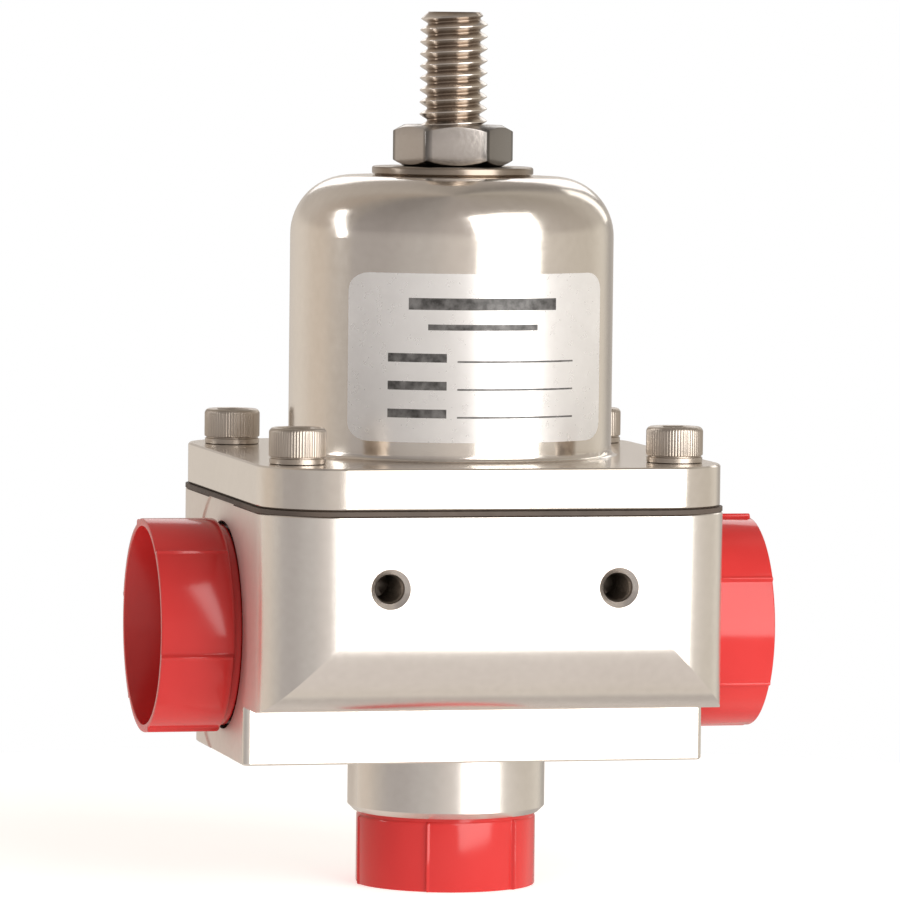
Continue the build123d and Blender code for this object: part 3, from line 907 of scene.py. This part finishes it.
# CAD nodes that keep their shape
NODE_LOOKS = {
    "housing": body_look,
    "bonnet": bonnet_look,
    "diaphragm": diaphragm_look,
    "valve_seat": brass_look,
    "seat_o_ring": ring_look,
    "left_plug_o_ring": ring_look,
    "right_plug_o_ring": ring_look,
    "bottom_plug_o_ring": ring_look,
    "spring_button": zinc_look,
    "diaphragm_upper_plate": zinc_look,
    "diaphragm_lower_plate": zinc_look,
    "stem_nut": zinc_look,
    "ball_retainer": zinc_look,
    "valve_stem": stainless_look,
    "valve_ball": ball_look,
    "pivot_ball": ball_look,
}
for node, look in NODE_LOOKS.items():
    for place in nodes[node].material_slots:
        place.material = look.material


# ------------------------------------------------------------- floor, light, camera

# Colour of the room that the metal reflects, by azimuth from the front (-Y) towards +X in degrees
WALLS = (
    (-150, (0.74, 0.68, 0.61)),
    (-122, (0.66, 0.58, 0.50)),
    (-95, (0.50, 0.46, 0.42)),
    (-65, (0.44, 0.41, 0.39)),
    (-35, (0.53, 0.50, 0.475)),
    (-5, (0.66, 0.61, 0.57)),
    (58, (0.66, 0.61, 0.55)),
    (100, (0.62, 0.57, 0.50)),
    (122, (0.74, 0.69, 0.61)),
    (142, (0.42, 0.39, 0.36)),
    (165, (0.60, 0.55, 0.50)),
)
# Factors on it, by height from straight down (0) to straight up (1)
LEVELS = (
    (0.0, (1.05, 1.04, 1.05)),
    (0.46, (1.0, 1.0, 1.0)),
    (0.53, (1.0, 1.0, 1.0)),
    (0.62, (0.76, 0.75, 0.75)),
    (1.0, (0.60, 0.59, 0.58)),
)


def plain_floor():
    """Pale round floor under the part."""
    angles = even_angles(96)
    radii = (POINT, 0.8 * FLOOR_RADIUS, FLOOR_RADIUS)
    mesh_rings = [ring(circle(r, angles), -FLOOR_DROP) for r in radii]
    floor = skin("pale_floor", mesh_rings)
    look = Look("pale_floor", (0.93, 0.92, 0.91), 0.9)
    look.set("Specular IOR Level", 0.1)
    look.set("Emission Color", (1.0, 0.985, 0.965, 1.0))
    look.set("Emission Strength", 0.55)
    look.tint(look.noise(3.0, 2.0), (0.99, 0.99, 0.99), (1.01, 1.01, 1.01))
    floor.data.materials.append(look.material)
    floor.visible_glossy = False


def softbox(
    name, azimuth, elevation, distance, width, height, radiance, colour=(1.0, 1.0, 1.0), roll=0.0
):
    """Area light facing the part: angles in degrees, the azimuth from the front (-Y) towards +X."""
    data = bpy.data.lights.new(name, "AREA")
    data.shape = "RECTANGLE"
    data.size = width
    data.size_y = height
    data.energy = radiance * pi * width * height
    data.color = colour
    light = bpy.data.objects.new(name, data)
    a, e = radians(azimuth), radians(elevation)
    direction = Vector((sin(a) * cos(e), -cos(a) * cos(e), sin(e)))
    light.location = Vector((0, 0, 0.05)) + direction * distance
    facing = direction.to_track_quat("Z", "Y")
    light.rotation_euler = (facing @ Quaternion((0, 0, 1), radians(roll))).to_euler()
    bpy.context.scene.collection.objects.link(light)


def studio_world():
    """White ground for the camera, and for everything else a warm grey room with lighter walls."""
    world = bpy.data.worlds.new("studio")
    world.use_nodes = True
    bpy.context.scene.world = world
    tree = world.node_tree

    def add(kind, *sources, **settings):
        made = tree.nodes.new(kind)
        for key, value in settings.items():
            setattr(made, key, value)
        for socket, source in zip(made.inputs, sources):
            if source is not None:
                tree.links.new(source, socket)
        return made

    def ramp(source, stops):
        made = add("ShaderNodeValToRGB", source)
        made.color_ramp.interpolation = "EASE"
        elements = made.color_ramp.elements
        for element, (position, colour) in zip(elements, (stops[0], stops[-1])):
            element.position = position
            element.color = (*colour, 1.0)
        for position, colour in stops[1:-1]:
            elements.new(position).color = (*colour, 1.0)
        return made.outputs["Color"]

    place = add("ShaderNodeTexCoord")
    split = add("ShaderNodeSeparateXYZ", place.outputs["Generated"])
    x, y, z = split.outputs["X"], split.outputs["Y"], split.outputs["Z"]
    heading = add("ShaderNodeMath", y, x, operation="ARCTAN2").outputs[0]
    around = add("ShaderNodeMapRange", heading)
    around.inputs["From Min"].default_value = -pi
    around.inputs["From Max"].default_value = pi
    height = add("ShaderNodeMapRange", z)
    height.inputs["From Min"].default_value = -1.0

    def wall(azimuth, colour):
        """A wall colour at an azimuth from the front (-Y) towards +X, in degrees."""
        return ((azimuth + 90) % 360) / 360, colour

    walls = ramp(around.outputs["Result"], sorted([wall(a, c) for a, c in WALLS]))
    levels = ramp(height.outputs["Result"], LEVELS)
    room = add("ShaderNodeMix", data_type="RGBA", blend_type="MULTIPLY")
    room.inputs["Factor"].default_value = 1.0
    tree.links.new(walls, room.inputs[COLOUR_A])
    tree.links.new(levels, room.inputs[COLOUR_B])
    tree.links.new(room.outputs[COLOUR_RESULT], tree.nodes["Background"].inputs["Color"])
    white = add("ShaderNodeBackground")
    white.inputs["Color"].default_value = (1.0, 1.0, 1.0, 1.0)
    rays = add("ShaderNodeLightPath")
    choose = add(
        "ShaderNodeMixShader",
        rays.outputs["Is Camera Ray"],
        tree.nodes["Background"].outputs["Background"],
        white.outputs["Background"],
    )
    tree.links.new(choose.outputs["Shader"], tree.nodes["World Output"].inputs["Surface"])


def photo_camera():
    """Camera at the photograph's viewing angle."""
    yaw, pitch, roll = radians(CAMERA_YAW), radians(CAMERA_PITCH), radians(CAMERA_ROLL)
    forward = Vector((sin(yaw) * cos(pitch), cos(yaw) * cos(pitch), -sin(pitch)))
    level = Vector((cos(yaw), -sin(yaw), 0))
    upright = level.cross(forward)
    right = level * cos(roll) + upright * sin(roll)
    up = upright * cos(roll) - level * sin(roll)
    data = bpy.data.cameras.new("photo_camera")
    data.lens = CAMERA_LENS
    data.sensor_width = 36.0
    data.clip_start = 0.05
    data.clip_end = 20.0
    camera = bpy.data.objects.new("photo_camera", data)
    camera.matrix_world = Matrix.Translation((CAMERA_TARGET - forward * CAMERA_DISTANCE) * MM) @ (
        Matrix((right, up, -forward)).transposed().to_4x4()
    )
    bpy.context.scene.collection.objects.link(camera)
    bpy.context.scene.camera = camera


plain_floor()
softbox("key_softbox", 28.5, 18.0, 0.9, 0.78, 1.00, 3.2, (1.0, 0.985, 0.96))
softbox("small_kicker", -104.0, 20.0, 0.8, 0.12, 0.50, 3.0, roll=28.0)
softbox("back_strip", 166.0, 23.0, 1.0, 0.60, 0.36, 1.1)
softbox("side_strip", 137.0, 22.0, 1.0, 0.16, 0.50, 1.3, (1.0, 0.97, 0.90))
studio_world()
photo_camera()
bpy.context.scene.view_settings.view_transform = "Standard"
